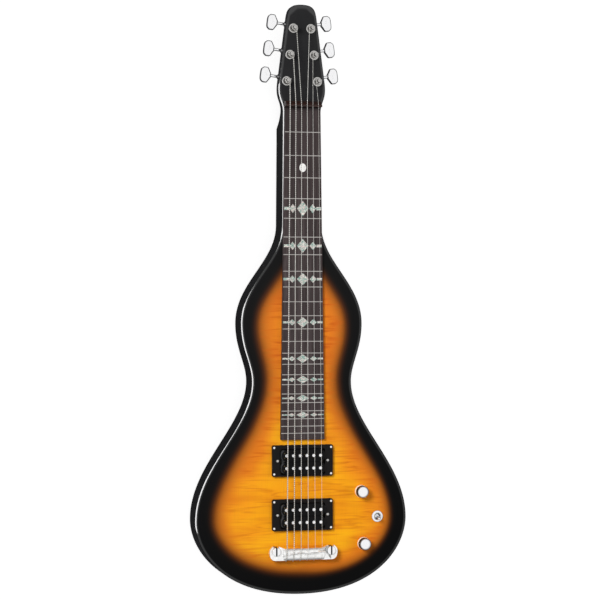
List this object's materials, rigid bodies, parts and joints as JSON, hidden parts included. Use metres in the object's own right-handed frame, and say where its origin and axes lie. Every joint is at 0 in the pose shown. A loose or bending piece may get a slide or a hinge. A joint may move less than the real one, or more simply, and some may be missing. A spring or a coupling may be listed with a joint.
{
  "type": "lap steel guitar",
  "caption": "Solid-body electric lap steel guitar with a flamed sunburst top, raised nut, wraparound bridge, double-coil pickups and worm-geared machine heads.",
  "frame": {"origin": "on the flat back, on the centre line, straight below the bridge line where the strings' length starts", "axes": "+Y from the bridge to the headstock, +X to the treble side, +Z out of the playing face"},
  "size_m": [0.318, 0.863, 0.062],
  "materials": {
    "black_lacquer": "high-gloss black lacquer over mahogany",
    "flamed_maple": "high-gloss lacquer, amber sunburst over flamed maple",
    "rosewood": "oiled open-grained rosewood",
    "dark_rosewood": "polished dark rosewood",
    "string_wire": "nickel-plated steel wire",
    "chrome": "bright chrome plate",
    "zinc_steel": "zinc-plated pressed steel",
    "black_plastic": "polished black plastic",
    "bobbin_plastic": "moulded black plastic",
    "brass": "plain brass",
    "magnet": "rough-cast magnet alloy"
  },
  "bodies": {
    "root": {"body_core": "black_lacquer", "maple_top": "flamed_maple", "headstock_face": "black_lacquer", "fingerboard": "rosewood", "nut": "dark_rosewood", "string_1": "string_wire", "string_2": "string_wire", "string_3": "string_wire", "string_4": "string_wire", "string_5": "string_wire", "string_6": "string_wire", "bridge_bar": "chrome", "bridge_stud_bass": "chrome", "bridge_stud_treble": "chrome", "stud_anchor_bass": "zinc_steel", "stud_anchor_treble": "zinc_steel", "tuner_1_housing": "chrome", "tuner_1_bushing": "chrome", "tuner_2_housing": "chrome", "tuner_2_bushing": "chrome", "tuner_3_housing": "chrome", "tuner_3_bushing": "chrome", "tuner_4_housing": "chrome", "tuner_4_bushing": "chrome", "tuner_5_housing": "chrome", "tuner_5_bushing": "chrome", "tuner_6_housing": "chrome", "tuner_6_bushing": "chrome", "neck_pickup_ring": "black_plastic", "bridge_pickup_ring": "black_plastic", "volume_pot": "zinc_steel", "tone_pot": "zinc_steel", "switch_body": "chrome", "output_jack": "chrome", "control_cover": "black_plastic"},
    "tuner_1_key_turned": {"tuner_1_key": "chrome"},
    "tuner_1_post_turned": {"tuner_1_post": "chrome"},
    "tuner_2_key_turned": {"tuner_2_key": "chrome"},
    "tuner_2_post_turned": {"tuner_2_post": "chrome"},
    "tuner_3_key_turned": {"tuner_3_key": "chrome"},
    "tuner_3_post_turned": {"tuner_3_post": "chrome"},
    "tuner_4_key_turned": {"tuner_4_key": "chrome"},
    "tuner_4_post_turned": {"tuner_4_post": "chrome"},
    "tuner_5_key_turned": {"tuner_5_key": "chrome"},
    "tuner_5_post_turned": {"tuner_5_post": "chrome"},
    "tuner_6_key_turned": {"tuner_6_key": "chrome"},
    "tuner_6_post_turned": {"tuner_6_post": "chrome"},
    "volume_control": {"volume_knob": "chrome", "volume_shaft": "brass"},
    "tone_control": {"tone_knob": "chrome", "tone_shaft": "brass"},
    "switch_lever_tilted": {"switch_lever": "chrome"},
    "neck_pickup": {"neck_pickup_baseplate": "brass", "neck_pickup_bobbin_front": "bobbin_plastic", "neck_pickup_bobbin_back": "bobbin_plastic", "neck_pickup_magnet": "magnet"},
    "bridge_pickup": {"bridge_pickup_baseplate": "brass", "bridge_pickup_bobbin_front": "bobbin_plastic", "bridge_pickup_bobbin_back": "bobbin_plastic", "bridge_pickup_magnet": "magnet"}
  },
  "joints": [
    {"name": "tuner_1_key_turn", "type": "hinge", "parent": "root", "child": "tuner_1_key_turned", "pos_m": [0.0223, 0.69294, 0.0254], "axis": [0.9916, 0.1297, 0], "continuous": true},
    {"name": "tuner_1_post_turn", "type": "hinge", "parent": "root", "child": "tuner_1_post_turned", "pos_m": [0.02321, 0.686, 0.031], "axis": [0, 0, 1], "continuous": true},
    {"name": "tuner_2_key_turn", "type": "hinge", "parent": "root", "child": "tuner_2_key_turned", "pos_m": [0.01724, 0.73164, 0.0254], "axis": [0.9916, 0.1297, 0], "continuous": true},
    {"name": "tuner_2_post_turn", "type": "hinge", "parent": "root", "child": "tuner_2_post_turned", "pos_m": [0.01815, 0.7247, 0.031], "axis": [0, 0, 1], "continuous": true},
    {"name": "tuner_3_key_turn", "type": "hinge", "parent": "root", "child": "tuner_3_key_turned", "pos_m": [0.01218, 0.77034, 0.0254], "axis": [0.9916, 0.1297, 0], "continuous": true},
    {"name": "tuner_3_post_turn", "type": "hinge", "parent": "root", "child": "tuner_3_post_turned", "pos_m": [0.01308, 0.7634, 0.031], "axis": [0, 0, 1], "continuous": true},
    {"name": "tuner_4_key_turn", "type": "hinge", "parent": "root", "child": "tuner_4_key_turned", "pos_m": [-0.01218, 0.77034, 0.0254], "axis": [-0.9916, 0.1297, 0], "continuous": true},
    {"name": "tuner_4_post_turn", "type": "hinge", "parent": "root", "child": "tuner_4_post_turned", "pos_m": [-0.01308, 0.7634, 0.031], "axis": [0, 0, 1], "continuous": true},
    {"name": "tuner_5_key_turn", "type": "hinge", "parent": "root", "child": "tuner_5_key_turned", "pos_m": [-0.01724, 0.73164, 0.0254], "axis": [-0.9916, 0.1297, 0], "continuous": true},
    {"name": "tuner_5_post_turn", "type": "hinge", "parent": "root", "child": "tuner_5_post_turned", "pos_m": [-0.01815, 0.7247, 0.031], "axis": [0, 0, 1], "continuous": true},
    {"name": "tuner_6_key_turn", "type": "hinge", "parent": "root", "child": "tuner_6_key_turned", "pos_m": [-0.0223, 0.69294, 0.0254], "axis": [-0.9916, 0.1297, 0], "continuous": true},
    {"name": "tuner_6_post_turn", "type": "hinge", "parent": "root", "child": "tuner_6_post_turned", "pos_m": [-0.02321, 0.686, 0.031], "axis": [0, 0, 1], "continuous": true},
    {"name": "volume_turn", "type": "hinge", "parent": "root", "child": "volume_control", "pos_m": [0.0895, 0.084, 0.044], "axis": [0, 0, 1], "range_deg": [-150, 150]},
    {"name": "tone_turn", "type": "hinge", "parent": "root", "child": "tone_control", "pos_m": [0.0932, 0.0072, 0.044], "axis": [0, 0, 1], "range_deg": [-150, 150]},
    {"name": "switch_tilt", "type": "hinge", "parent": "root", "child": "switch_lever_tilted", "pos_m": [0.1145, 0.0466, 0.0408], "axis": [1, 0, 0], "range_deg": [-24, 0]},
    {"name": "neck_pickup_height", "type": "slide", "parent": "root", "child": "neck_pickup", "axis": [0, 0, 1], "range_m": [-0.004, 0.003]},
    {"name": "bridge_pickup_height", "type": "slide", "parent": "root", "child": "bridge_pickup", "axis": [0, 0, 1], "range_m": [-0.004, 0.003]}
  ],
  "couplings": [
    {"joint": "tuner_1_post_turn", "follows": "tuner_1_key_turn", "ratio": 0.071429},
    {"joint": "tuner_2_post_turn", "follows": "tuner_2_key_turn", "ratio": 0.071429},
    {"joint": "tuner_3_post_turn", "follows": "tuner_3_key_turn", "ratio": 0.071429},
    {"joint": "tuner_4_post_turn", "follows": "tuner_4_key_turn", "ratio": 0.071429},
    {"joint": "tuner_5_post_turn", "follows": "tuner_5_key_turn", "ratio": 0.071429},
    {"joint": "tuner_6_post_turn", "follows": "tuner_6_key_turn", "ratio": 0.071429}
  ]
}
